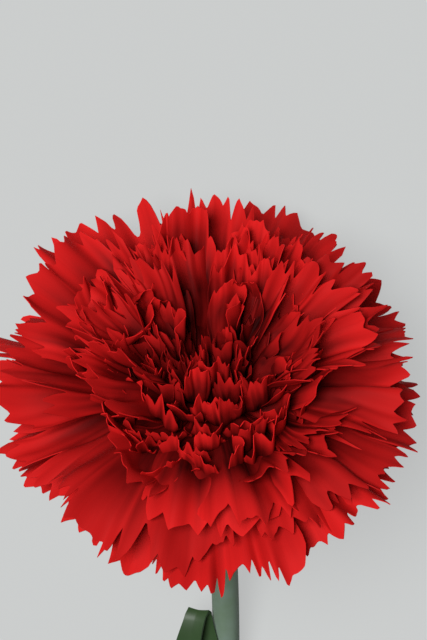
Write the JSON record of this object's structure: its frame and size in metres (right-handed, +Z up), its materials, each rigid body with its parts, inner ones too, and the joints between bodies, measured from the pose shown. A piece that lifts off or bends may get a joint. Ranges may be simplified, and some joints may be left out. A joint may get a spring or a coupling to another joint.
{
  "type": "cut carnation",
  "caption": "Double red carnation with fringed ruffled petals in a green calyx, on a short cut stem with narrow curling leaves, lying on its side.",
  "frame": {"origin": "middle of the bounding box's base, on the surface that the flower lies on", "axes": "+Y from the bloom back along the stem to its cut end, which is the longest way; the bloom faces -Y and upwards; +Z up; +X to the left of someone who looks down on the bloom with the stem towards them"},
  "size_m": [0.1178, 0.1954, 0.066],
  "materials": {
    "petal": "matt, velvety petal",
    "calyx": "smooth, waxy green",
    "pistil": "smooth, pale",
    "stem": "smooth, with a grey waxy bloom",
    "leaf": "smooth, waxy green"
  },
  "bodies": {
    "root": {"guard_petal_1": "petal", "guard_petal_2": "petal", "guard_petal_3": "petal", "guard_petal_4": "petal", "guard_petal_5": "petal", "guard_petal_6": "petal", "guard_petal_7": "petal", "guard_petal_8": "petal", "guard_petal_9": "petal", "guard_petal_10": "petal", "outer_petal_1": "petal", "outer_petal_2": "petal", "outer_petal_3": "petal", "outer_petal_4": "petal", "outer_petal_5": "petal", "outer_petal_6": "petal", "outer_petal_7": "petal", "outer_petal_8": "petal", "outer_petal_9": "petal", "outer_petal_10": "petal", "middle_petal_1": "petal", "middle_petal_2": "petal", "middle_petal_3": "petal", "middle_petal_4": "petal", "middle_petal_5": "petal", "middle_petal_6": "petal", "middle_petal_7": "petal", "middle_petal_8": "petal", "middle_petal_9": "petal", "middle_petal_10": "petal", "front_crown_petal_1": "petal", "front_crown_petal_2": "petal", "front_crown_petal_3": "petal", "front_crown_petal_4": "petal", "front_crown_petal_5": "petal", "front_crown_petal_6": "petal", "right_crown_petal_1": "petal", "right_crown_petal_2": "petal", "right_crown_petal_3": "petal", "right_crown_petal_4": "petal", "left_crown_petal_1": "petal", "left_crown_petal_2": "petal", "left_crown_petal_3": "petal", "left_crown_petal_4": "petal", "back_crown_petal_1": "petal", "back_crown_petal_2": "petal", "back_crown_petal_3": "petal", "back_crown_petal_4": "petal", "calyx": "calyx", "bract_1": "calyx", "bract_2": "calyx", "bract_3": "calyx", "bract_4": "calyx", "pistil": "pistil", "stem": "stem", "upper_leaf_left": "leaf", "upper_leaf_right": "leaf", "lower_leaf_left": "leaf", "lower_leaf_right": "leaf"}
  },
  "joints": []
}
